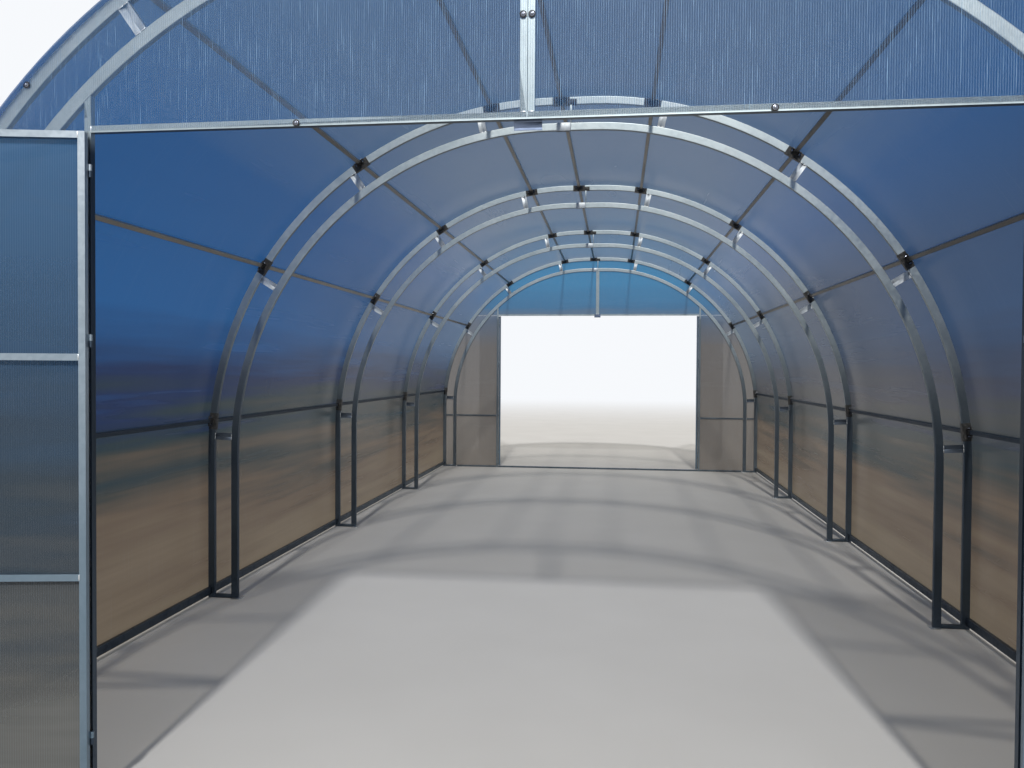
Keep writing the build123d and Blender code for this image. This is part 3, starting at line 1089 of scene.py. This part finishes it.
class Patterns:
    """Small pieces that are repeated, each with its local Z pointing out of what carries it."""

    @staticmethod
    def turned(profile: Sequence[Span], sides: int) -> bpy.types.Mesh:
        """Solid of revolution about Z.

        Args:
            profile: Radius and height of each ring, from the top down; the first is on the axis.
            sides: Sides of each ring.

        Returns:
            The closed mesh.
        """
        build = bmesh.new()
        top = build.verts.new((0.0, 0.0, profile[0][1]))
        angles = [2 * pi * i / sides for i in range(sides)]
        rings = [[build.verts.new((r * cos(a), r * sin(a), h)) for a in angles]
                 for r, h in profile[1:]]
        for i in range(sides):
            j = (i + 1) % sides
            build.faces.new((top, rings[0][i], rings[0][j]))
            for upper, lower in zip(rings, rings[1:]):
                build.faces.new((upper[i], lower[i], lower[j], upper[j]))
        build.faces.new(list(reversed(rings[-1])))
        return mesh_of(build, "turned")

    @classmethod
    def dome_screw(cls) -> bpy.types.Mesh:
        """Domed head of a sheet screw."""
        return cls.turned([(0, 0.0052), (0.0022, 0.0049), (0.0038, 0.004), (0.0047, 0.0026),
                           (0.0050, 0.0014), (0.0064, 0.0011), (0.0066, 0.0004),
                           (0.0064, 0.0)], 14)

    @classmethod
    def seal_washer(cls) -> bpy.types.Mesh:
        """Rubber ring squeezed out under a sheet screw."""
        return cls.turned([(0, 0.0008), (0.0092, 0.0008), (0.0100, 0.0004), (0.0098, -0.0004)], 14)

    @classmethod
    def hex_bolt(cls) -> bpy.types.Mesh:
        """Hexagon head with a chamfered top."""
        return cls.turned([(0, 0.0043), (0.0046, 0.0043), (0.0056, 0.0036), (0.0056, 0.0)], 6)

    @classmethod
    def nut_and_tail(cls) -> bpy.types.Mesh:
        """Nut with the end of the bolt standing out of it."""
        return cls.turned([(0, 0.0125), (0.0024, 0.0125), (0.003, 0.0119), (0.003, 0.0052),
                           (0.0046, 0.0052), (0.0057, 0.0045), (0.0057, 0.0)], 12)

    @staticmethod
    def weld_bead(half: float = 0.009, width: float = 0.0026, height: float = 0.0018,
                  sink: float = 0.0002, ripples: int = 9, sides: int = 5) -> bpy.types.Mesh:
        """Rippled bead along local X.

        Args:
            half: Half its length.
            width: Half its width in the middle.
            height: Its height in the middle.
            sink: How far it is let into the steel.
            ripples: Number of crests and troughs.
            sides: Flats over its round back.

        Returns:
            The closed mesh.
        """
        build = bmesh.new()
        rings = []
        for i in range(ripples):
            t = -1 + 2 * i / (ripples - 1)
            swell = sqrt(max(0.05, 1 - t * t)) * (1.0 if i % 2 else 0.82)
            rings.append([build.verts.new((half * t, width * swell * cos(a),
                                           height * swell * sin(a) - sink))
                          for a in (pi * k / sides for k in range(sides + 1))])
        for near, far in zip(rings, rings[1:]):
            for i in range(sides):
                build.faces.new((near[i], near[i + 1], far[i + 1], far[i]))
            build.faces.new((near[sides], near[0], far[0], far[sides]))
        build.faces.new(list(reversed(rings[0])))
        build.faces.new(rings[-1])
        bmesh.ops.recalc_face_normals(build, faces=build.faces)
        return mesh_of(build, "bead")

    @staticmethod
    def block(size: Sequence[float], corner: float) -> bpy.types.Mesh:
        """Plate or short bar with rounded corners, centred on its place.

        Args:
            size: Its size along each local axis.
            corner: Corner radius.

        Returns:
            The closed mesh.
        """
        build = bmesh.new()
        bmesh.ops.create_cube(build, size=1.0, matrix=Matrix.Diagonal((*size, 1.0)))
        bmesh.ops.bevel(build, geom=build.edges[:], offset=corner, segments=2, profile=0.5,
                        affect="EDGES")
        return mesh_of(build, "block")

    @staticmethod
    def pinched_spacer(length: float, width: float, thickness: float, reach: float = 0.048,
                       sink: float = 0.008, corner: float = 0.0014) -> bpy.types.Mesh:
        """Short flattened tube from arch to arch, with a three-cornered dent at each end.

        Args:
            length: Length along local X, from 0.
            width: Width along local Y.
            thickness: Thickness along local Z.
            reach: How far each dent reaches along the spacer.
            sink: Depth of each dent at the spacer's end.
            corner: Corner radius.

        Returns:
            The closed mesh.
        """
        build = bmesh.new()
        half, top = width / 2, thickness / 2
        faces = {}
        for sign in (-1, 1):
            spots = [(0, -half, top), (length, -half, top), (length, half, top), (0, half, top),
                     (0, 0, top - sink), (length, 0, top - sink), (reach, 0, top),
                     (length - reach, 0, top)]
            faces[sign] = [build.verts.new((x, y, sign * z)) for x, y, z in spots]
            a, b, c, d, dent_a, dent_b, tip_a, tip_b = faces[sign]
            for ring in ((a, b, tip_b, tip_a), (c, d, tip_a, tip_b), (a, tip_a, dent_a),
                         (dent_a, tip_a, d), (b, dent_b, tip_b), (tip_b, dent_b, c)):
                build.faces.new(ring)
        low, high = faces[-1], faces[1]
        for run in ((0, 1), (2, 3), (3, 4, 0), (1, 5, 2)):
            build.faces.new([low[i] for i in run] + [high[i] for i in reversed(run)])
        bmesh.ops.recalc_face_normals(build, faces=build.faces)
        sharp = [edge for edge in build.edges if edge.calc_face_angle(0.0) > radians(60.0)]
        bmesh.ops.bevel(build, geom=sharp, offset=corner, segments=2, profile=0.5, affect="EDGES")
        return mesh_of(build, "spacer")


@dataclass
class SubAssembly:
    """Part of the greenhouse that is put together in the workshop."""

    tunnel: Tunnel
    shop: Workshop
    finishes: Finishes

    def _sheet_screws(self, name: str, places: Sequence[Place], body: str, seed: int) -> None:
        """Domed screws with their rubber washers.

        Args:
            name: Name of the piece.
            places: Where they go, on the sheet's face.
            body: The body that they ride on.
            seed: Seed of their turn.
        """
        washer_lift = 0.0004
        lifted = [Place(place.spot + place.turn.col[2] * washer_lift, place.turn)
                  for place in places]
        mesh = self.shop.joined("screws", [
            self.shop.repeat(Patterns.dome_screw(), lifted, self.finishes.screw, seed),
            self.shop.repeat(Patterns.seal_washer(), places, self.finishes.rubber, seed + 1)])
        self.shop.piece(name, mesh, body, PLATE)

    def _weld_beads(self, name: str, places: Sequence[Place], body: str) -> None:
        """Weld beads at their places, as one piece on a body."""
        beads = self.shop.repeat(Patterns.weld_bead(), places, self.finishes.bright)
        self.shop.piece(name, beads, body, PLATE)


@dataclass
class Arches(SubAssembly):
    """Five double arches: bent tubes, spacers, ground bars, feet, crown plates and sleeves."""

    corner: float = 0.0028
    spacer_width: float = 0.038
    spacer_drop: float = 0.064
    lower_spacer_drop: float = 0.079
    bead_spacing: float = 0.018
    bar_corner: float = 0.0018
    foot: tuple[float, float, float] = (0.05, 0.06, 0.003)
    foot_inset: float = 0.01
    foot_corner: float = 0.0008
    crown_plate: float = 0.003
    crown_plate_x: float = 0.002
    crown_plate_corner: float = 0.0006
    splice_length: float = 0.058
    splice_height: float = 0.030
    splice_slack: float = 0.003
    splice_drop: float = 0.0062
    splice_corner: float = 0.0012
    sleeve_length: float = 0.074
    sleeve_slack: float = 0.004
    sleeve_corner: float = 0.0032
    crown_bolts: tuple[float, ...] = (0.012, 0.026, 0.040, 0.054)
    bolt_seed: int = 11

    def build(self) -> None:
        """Build all arches, one piece for each node."""
        for index, y in enumerate(self.tunnel.stations, start=1):
            self._outer(index, y)
            self._inner(index, y)
            self._crown_sleeve(index, y)

    def _tubes(self, offset: float, y: float) -> list[bpy.types.Mesh]:
        """Both bent halves at an offset and a place along the tunnel."""
        return [self.shop.sweep(self.tunnel.half_arch(offset, side, y), self.tunnel.arch_depth,
                                self.tunnel.tube, self.corner, self.finishes.tube)
                for side in SIDES.values()]

    def _outer(self, index: int, y: float) -> None:
        """Outer arch with the splice plate behind its crown joint.

        Args:
            index: Number of the arch.
            y: Its place along the tunnel.
        """
        tunnel, shop = self.tunnel, self.shop
        mesh = shop.joined("outer", self._tubes(tunnel.arch_spacing, y))
        shop.piece(f"outer_arch_{index}_tubes", mesh, SHELL, TUBE, [f"outer_arch_{index}"])
        size = (self.splice_length, tunnel.tube + self.splice_slack, self.splice_height)
        spot = Place.upright(0.0, y, tunnel.crown(tunnel.arch_spacing) - self.splice_drop)
        splice = shop.repeat(Patterns.block(size, self.splice_corner), [spot], self.finishes.clamp)
        shop.piece(f"crown_splice_{index}", splice, SHELL, CLAMP)

    def _inner(self, index: int, y: float) -> None:
        """Inner arch with everything that is welded to it.

        Args:
            index: Number of the arch.
            y: Its place along the tunnel.
        """
        tunnel, repeat, finishes = self.tunnel, self.shop.repeat, self.finishes
        near = tunnel.arch_depth / 2
        far = tunnel.arch_spacing - near - tunnel.weld_gap
        middle, gap = (near + far) / 2, far - near
        spacers, beads = [], []
        for side in SIDES.values():
            for level, angle in tunnel.purlin_angles.items():
                drop = self.lower_spacer_drop if level == "lower" else self.spacer_drop
                low = angle - degrees(drop / tunnel.radius(far / 2))
                spacers.append(Place.facing(tunnel.bend(near, low, side, y), -ALONG,
                                            tunnel.outward(low, side)))
                beads += self._spacer_beads(low, side, y, (near, far))
        spots = ((tunnel.half_width + middle, tunnel.tube / 2),
                 (tunnel.half_width - self.foot_inset, self.foot[2] / 2),
                 (self.crown_plate_x, tunnel.crown(middle)))
        bars, feet, plates = ([Place.upright(side * x, y, z) for side in SIDES.values()]
                              for x, z in spots)
        spacer = Patterns.pinched_spacer(gap, self.spacer_width, tunnel.tube)
        bar = Patterns.block((gap, tunnel.tube, tunnel.tube), self.bar_corner)
        plate = Patterns.block((self.crown_plate, tunnel.tube, gap), self.crown_plate_corner)
        mesh = self.shop.joined("inner", [
            *self._tubes(0.0, y),
            repeat(spacer, spacers, finishes.satin),
            repeat(bar, bars, finishes.tube),
            repeat(Patterns.block(self.foot, self.foot_corner), feet, finishes.bright),
            repeat(plate, plates, finishes.tube)])
        self.shop.piece(f"inner_arch_{index}_tubes", mesh, SHELL, TUBE, [f"inner_arch_{index}"])
        self._weld_beads(f"arch_welds_{index}", beads, SHELL)

    def _spacer_beads(self, low: float, side: int, y: float, ends: Span) -> list[Place]:
        """Weld beads along the two ends of a spacer, on its front and back.

        Args:
            low: The spacer's angle on the bend.
            side: Its side of the tunnel.
            y: The arch's place.
            ends: Offsets of the spacer's ends.

        Returns:
            The beads' places.
        """
        tunnel = self.tunnel
        places = []
        for offset in ends:
            for step in (-0.5, 0.5):
                angle = low + degrees(step * self.bead_spacing / tunnel.radius(offset))
                spot = tunnel.bend(offset, angle, side, y)
                tangent = tunnel.outward(angle + 90.0 * side, side)
                places += [Place.facing(spot + face * tunnel.tube / 2, face, tangent)
                           for face in (-ALONG, ALONG)]
        return places

    def _crown_sleeve(self, index: int, y: float) -> None:
        """Sleeve on one side of the inner arch's crown joint, and bolts on the other side.

        Args:
            index: Number of the arch.
            y: Its place along the tunnel.
        """
        tunnel, shop = self.tunnel, self.shop
        top = tunnel.crown(0.0)
        size = (self.sleeve_length, tunnel.tube + self.sleeve_slack,
                tunnel.arch_depth + self.sleeve_slack)
        spot = Place.upright(-self.sleeve_length / 2 - tunnel.joint_gap, y, top)
        sleeve = shop.repeat(Patterns.block(size, self.sleeve_corner), [spot], self.finishes.satin)
        shop.piece(f"crown_sleeve_{index}", sleeve, SHELL, PLATE)
        bolts = [Place.upright(x, y, top + tunnel.arch_depth / 2) for x in self.crown_bolts]
        heads = shop.repeat(Patterns.hex_bolt(), bolts, self.finishes.bright, self.bolt_seed)
        shop.piece(f"crown_bolts_{index}", heads, SHELL, PLATE)


@dataclass
class Purlins(SubAssembly):
    """Purlins, bottom rails and the stamped clamps with their bolts."""

    corner: float = 0.002
    clamp_corner: float = 0.0007
    ear_reach: float = 0.0202
    ear_half: float = 0.0019
    bolt_reach: float = 0.026
    head_seed: int = 5
    nut_seed: int = 25

    def build(self) -> None:
        """Round the bars and the clamps, and bolt them."""
        finishes, shop = self.finishes, self.shop
        for level in (*self.tunnel.purlin_angles, "ridge"):
            # The purlins take painted shade: the lower ones below 1.1 m, the others towards the
            # right and on faces that look down.
            finish = finishes.low_bar if level == "lower" else finishes.dull
            shop.rounded_node("purlins_" + level, SHELL, TUBE, finish, self.corner)
        shop.rounded_node("bottom_rails", SHELL, TUBE, finishes.tube, self.corner)
        for index in range(1, self.tunnel.bay_count + 2):
            shop.rounded_node(f"purlin_clamps_{index}", SHELL, CLAMP, finishes.clamp,
                              self.clamp_corner)
            self._bolts(index)

    def _crossings(self) -> list[tuple[Vector, Vector]]:
        """Find every purlin line.

        Returns:
            Place in the cross-section and way out of each.
        """
        tunnel = self.tunnel
        found = [(tunnel.bend(tunnel.purlin_offset, angle, side), tunnel.outward(angle, side))
                 for angle in tunnel.purlin_angles.values() for side in SIDES.values()]
        return [*found, (Vector((tunnel.ridge_x, 0.0, tunnel.crown(tunnel.purlin_offset))), UP)]

    def _bolts(self, index: int) -> None:
        """Bolt heads outside and nuts inside, through every ear of one arch's clamps.

        Args:
            index: Number of the arch. The first and the last have purlins on one side only.
        """
        y = self.tunnel.stations[index - 1]
        ways = [way for way in (-1, 1) if 1 <= index + way <= self.tunnel.bay_count + 1]
        heads, nuts = [], []
        for spot, out in self._crossings():
            tangent = out.cross(ALONG)
            for way in ways:
                for ear in (-1, 1):
                    centre = spot + tangent * ear * self.ear_reach
                    centre += ALONG * (y + way * self.bolt_reach)
                    heads.append(Place.facing(centre + out * self.ear_half, out, tangent))
                    nuts.append(Place.facing(centre - out * self.ear_half, -out, tangent))
        shop, finishes = self.shop, self.finishes
        mesh = shop.joined("bolts", [
            shop.repeat(Patterns.hex_bolt(), heads, finishes.bright, self.head_seed + index),
            shop.repeat(Patterns.nut_and_tail(), nuts, finishes.screw, self.nut_seed + index)])
        shop.piece(f"clamp_bolts_{index}", mesh, SHELL, PLATE)


@dataclass
class EndWall(SubAssembly):
    """One end: door frame, rails, stop plate, sheets, hinges and their screws."""

    end: End
    corner: float = 0.002
    stop_corner: float = 0.0004
    hinge_corner: float = 0.0006
    leaf_low: float = 0.025
    leaf_gap: float = 0.005
    leaf_rails: int = 4
    stand_off: float = 0.008
    rail_height: float = 0.67
    mullion_half: float = 0.0105
    lintel_screw_x: float = 0.652
    lintel_screw_shift: float = 0.002
    corner_screw_x: float = 1.585
    mullion_screw_x: float = 0.012
    mullion_screws: tuple[float, ...] = (2.244, 2.50)
    arch_screw_inset: float = 0.012
    arch_screws: tuple[float, ...] = (8.0, 24.0, 43.5, 62.0, 80.0)
    leg_screws: tuple[float, ...] = (0.12, 0.45)
    post_screw_inset: float = 0.013
    post_screws: tuple[float, ...] = (0.15, 0.58, 1.2, 1.7)
    rail_screws: tuple[float, ...] = (1.45, 1.65)
    leaf_screws: tuple[float, ...] = (0.012, 0.35, 0.65, 0.988)
    wall_seed: int = 31
    leaf_seed: int = 41

    @property
    def y(self) -> float:
        """Y of the end's middle plane."""
        return 0.0 if self.end is End.FRONT else self.tunnel.length

    def build(self) -> None:
        """Shape and dress everything at this end."""
        title, shop, finishes = self.end.title, self.shop, self.finishes
        for part, slot, finish, radius in (
                ("_door_frame", TUBE, finishes.posts, self.corner),
                ("_end_rails", TUBE, finishes.tube, self.corner),
                ("_door_stop", PLATE, finishes.stop, self.stop_corner),
                ("_hinges", PLATE, finishes.posts, self.hinge_corner)):
            shop.rounded_node(title + part, SHELL, slot, finish, radius)
        wall, outer = finishes.walls[title], finishes.walls_outside
        gable = wall if self.end is End.FRONT else outer
        for part, skin in (("_gable_sheets", gable), ("_side_sheets", outer)):
            shop.sheet_node(title + part, SHELL, wall, skin, ALONG * self.end.out)
        self._wall_screws()
        self._frame_welds()
        for name, side in SIDES.items():
            self._leaf(name, side)

    def _wall_screws(self) -> None:
        """Screws through the gable and side sheets into the frame behind."""
        tunnel, lintel = self.tunnel, self.tunnel.lintel_top
        face = self.y + self.end.out * (tunnel.tube / 2 + tunnel.sheet)
        height = lintel - tunnel.tube / 2 - self.lintel_screw_shift
        spots = [(side * self.lintel_screw_x, height) for side in SIDES.values()]
        spots += [(side * self.mullion_screw_x, z)
                  for side in SIDES.values() for z in self.mullion_screws]
        for side in SIDES.values():
            for angle in self.arch_screws:
                point = tunnel.bend(tunnel.arch_spacing + self.arch_screw_inset, angle, side)
                spots.append((point.x, point.z))
            leg = tunnel.half_width + tunnel.arch_spacing
            post = tunnel.door_half + self.post_screw_inset
            spots += [(side * leg, z) for z in self.leg_screws]
            spots.append((side * self.corner_screw_x, lintel + self.lintel_screw_shift))
            spots += [(side * post, z) for z in self.post_screws]
            spots += [(side * x, self.rail_height) for x in self.rail_screws]
        places = [Place.facing((x, face, z), ALONG * self.end.out, ACROSS) for x, z in spots]
        self._sheet_screws(f"{self.end.title}_wall_screws", places, SHELL, self.wall_seed)

    def _frame_welds(self) -> None:
        """Weld beads at the joints of the door frame, on its inner and outer face."""
        tunnel, lintel = self.tunnel, self.tunnel.lintel_top
        leg = tunnel.half_width - tunnel.arch_depth / 2
        rail_ends = (tunnel.door_half + tunnel.tube + tunnel.weld_gap, leg, leg + tunnel.arch_depth)
        joints = [(tunnel.door_half, lintel - tunnel.tube / 2, UP),
                  (self.mullion_half, lintel, ACROSS),
                  *((x, self.rail_height, UP) for x in rail_ends)]
        places = [Place.facing((side * x, self.y + face.y * tunnel.tube / 2, z), face, along)
                  for face in (-ALONG, ALONG) for side in SIDES.values() for x, z, along in joints]
        self._weld_beads(f"{self.end.title}_frame_welds", places, SHELL)

    def _leaf(self, name: str, side: int) -> None:
        """One door leaf with its screws and welds.

        Args:
            name: Side by name.
            side: 1 for the right and -1 for the left.
        """
        title = f"{self.end.title}_{name}"
        body = title + "_leaf"
        self.shop.rounded_node(body + "_frame", body, TUBE, self.finishes.leaf, self.corner)
        angle = radians(self.end.open_angle)
        along = Vector((-side * cos(angle), self.end.out * sin(angle), 0.0))
        away = along.cross(UP) * (side * self.end.out)
        self.shop.sheet_node(body + "_sheet", body, self.finishes.leaves[title],
                             self.finishes.leaves_outside[title], away)
        self._leaf_fastenings(body, side, along, away)

    def _leaf_fastenings(self, body: str, side: int, along: Vector, away: Vector) -> None:
        """Screws along each rail of a leaf, and weld beads at the rails' ends.

        Args:
            body: The leaf.
            side: Its side of the doorway.
            along: The way from its hinges to its free edge.
            away: The way out of its sheet.
        """
        tunnel, tube = self.tunnel, self.tunnel.tube
        hinge_x = tunnel.door_half - self.leaf_gap / 2
        pin = Vector((side * hinge_x, self.y + self.end.out * (tube / 2 + self.stand_off), 0.0))
        near, far = self.leaf_gap / 2, hinge_x - self.leaf_gap / 2
        high = tunnel.lintel_top - tube - self.leaf_gap
        pitch = (high - self.leaf_low - tube) / (self.leaf_rails - 1)
        screws, beads = [], []
        for step in range(self.leaf_rails):
            rail = pin + UP * (self.leaf_low + tube / 2 + pitch * step)
            face = rail - away * (self.stand_off - tunnel.sheet)
            for share in self.leaf_screws:
                spot = face + along * (near + (far - near) * share)
                screws.append(Place.facing(spot, away, along))
            for reach in (near + tube, far - tube):
                for depth, way in ((self.stand_off, away), (self.stand_off + tube, -away)):
                    beads.append(Place.facing(rail + along * reach - away * depth, way, UP))
        self._sheet_screws(body + "_screws", screws, body, self.leaf_seed)
        self._weld_beads(body + "_welds", beads, body)


@dataclass
class Roof(SubAssembly):
    """Bent roof sheets and the screws that hold them."""

    screw_pitch: float = 0.35
    joint_shift: float = 0.006
    arch_screws: tuple[float, ...] = (14.0, 24.0, 43.0, 66.0)
    screw_seed: int = 51

    def build(self) -> None:
        """Smooth the sheets and screw them down."""
        for index in range(1, self.tunnel.bay_count + 1):
            self.shop.sheet_node(f"roof_sheet_{index}", SHELL, self.finishes.roof,
                                 self.finishes.roof_outside, spring=self.tunnel.leg_height)
        self._roof_screws()

    def _roof_screws(self) -> None:
        """Screws along the purlins, and round the arches on both sides of each joint."""
        tunnel = self.tunnel
        offset = tunnel.outer_face + tunnel.sheet
        count = int(tunnel.bay_length / self.screw_pitch)
        runs = [y + tunnel.bay_length * (step + 0.5) / count
                for y in tunnel.stations[:-1] for step in range(count)]
        round_arches = []
        for y in tunnel.stations:
            shifts = (0.0,) if y in (0.0, tunnel.length) else (-self.joint_shift, self.joint_shift)
            round_arches += [(angle, y + shift) for angle in self.arch_screws for shift in shifts]
        places = []
        for side in SIDES.values():
            along_purlins = [(angle, y) for angle in tunnel.purlin_angles.values() for y in runs]
            places += [Place.facing(tunnel.bend(offset, angle, side, y),
                                    tunnel.outward(angle, side), ALONG)
                       for angle, y in along_purlins + round_arches]
        self._sheet_screws("roof_screws", places, SHELL, self.screw_seed)


@dataclass
class Studio:
    """Camera at the photo's viewing angle, soft light and a pale floor."""

    focal_pixels: float = 829.23
    image_width: int = 1024
    sensor_width: float = 36.0
    view_distance: float = 200.0
    eye: tuple[float, float, float] = (0.2465, -2.2607, 1.2862)
    yaw: float = 0.1252
    pitch: float = -0.01909
    roll: float = -0.00611
    sun_way: tuple[float, float, float] = (-0.056, 1.0, -0.713)
    sun_strength: float = 2.4
    sun_spread: float = 3.0
    sun_colour: Colour = (1.0, 0.985, 0.96)
    air_colour: tuple[float, float, float, float] = (1.0, 0.99, 0.97, 1.0)
    air_strength: float = 0.55
    floor_tones: tuple[Colour, Colour] = ((0.62, 0.605, 0.58), (0.70, 0.685, 0.66))
    floor_reach: float = 60.0
    floor_drop: float = 0.001
    floor_fade: Span = (14.0, 34.0)

    def build(self) -> None:
        """Set the whole studio up."""
        scene = bpy.context.scene
        scene.view_settings.view_transform = "Standard"
        scene.cycles.transparent_max_bounces = 32
        scene.cycles.adaptive_threshold = 0.04
        scene.cycles.max_bounces = 5
        scene.cycles.diffuse_bounces = 3
        scene.cycles.glossy_bounces = 3
        self._camera()
        self._sun()
        self._world()
        self._floor()

    @staticmethod
    def _put(name: str, data: bpy.types.ID) -> bpy.types.Object:
        """Put a camera, lamp or mesh into the scene.

        Args:
            name: Name of the object.
            data: What it holds.

        Returns:
            The object.
        """
        made = bpy.data.objects.new(name, data)
        bpy.context.scene.collection.objects.link(made)
        return made

    def _camera(self) -> None:
        """Camera fitted to the photo."""
        data = bpy.data.cameras.new("photo_camera")
        data.sensor_fit = "HORIZONTAL"
        data.sensor_width = self.sensor_width
        data.lens = self.focal_pixels / self.image_width * self.sensor_width
        data.clip_end = self.view_distance
        camera = self._put("photo_camera", data)
        turn = (Matrix.Rotation(self.yaw, 4, "Z") @ Matrix.Rotation(self.pitch, 4, "X")
                @ Matrix.Rotation(self.roll, 4, "Y") @ Matrix.Rotation(pi / 2, 4, "X"))
        camera.matrix_world = Matrix.Translation(Vector(self.eye)) @ turn
        bpy.context.scene.camera = camera

    def _sun(self) -> None:
        """One broad soft sun from behind the viewer."""
        data = bpy.data.lights.new("soft_sun", "SUN")
        data.energy = self.sun_strength
        data.angle = radians(self.sun_spread)
        data.color = self.sun_colour
        sun = self._put("soft_sun", data)
        sun.rotation_euler = Vector(self.sun_way).to_track_quat("-Z", "Y").to_euler()

    def _world(self) -> None:
        """Plain soft world: white where the viewer or a mirror sees it, and softer as a light."""
        world = bpy.data.worlds.new("studio")
        bpy.context.scene.world = world
        world.use_nodes = True
        world.node_tree.nodes.clear()
        graph = Graph(world.node_tree)
        path = graph.node("ShaderNodeLightPath", output="Is Camera Ray")
        seen = path + path.output("Is Glossy Ray") + path.output("Is Transmission Ray")
        soft = graph.node("ShaderNodeBackground", {},
                          {"Color": self.air_colour, "Strength": self.air_strength})
        white = graph.node("ShaderNodeBackground", {}, {"Color": BACKDROP, "Strength": 1.0})
        both = graph.node("ShaderNodeMixShader", {}, {0: seen.clamped(), 1: soft, 2: white})
        graph.node("ShaderNodeOutputWorld", {}, {"Surface": both})

    def _floor(self) -> None:
        """Pale floor that fades into the background far out."""
        mesh = bpy.data.meshes.new("floor")
        mesh.from_pydata([(x * self.floor_reach, y * self.floor_reach, -self.floor_drop)
                          for x, y in ((-1, -1), (1, -1), (1, 1), (-1, 1))], [], [(0, 1, 2, 3)])
        floor = self._put("floor", mesh)
        surface = Surface("pale_floor", Roughness=0.8, Specular_IOR_Level=0.2)
        cloud = surface.noise(surface.place, 1.4, 2.0)
        surface.feed("Base Color", surface.mix(cloud, *self.floor_tones))
        away = surface.node("ShaderNodeVectorMath", {"operation": "LENGTH"},
                            {0: surface.place}, "Value")
        fade = away.band(*self.floor_fade) * surface.node("ShaderNodeLightPath",
                                                          output="Is Camera Ray")
        surface.blend(fade, surface.node("ShaderNodeEmission", {},
                                         {"Color": BACKDROP, "Strength": 1.0}))
        mesh.materials.append(surface.material)


def main() -> None:
    """Build the greenhouse piece by piece."""
    logging.basicConfig(level=logging.INFO, format="%(name)s %(message)s")
    tunnel = Tunnel()
    Studio().build()
    shop = Workshop()
    finishes = Finishes.make()
    Arches(tunnel, shop, finishes).build()
    Purlins(tunnel, shop, finishes).build()
    for end in End:
        EndWall(tunnel, shop, finishes, end).build()
    Roof(tunnel, shop, finishes).build()


if __name__ == "__main__":
    main()
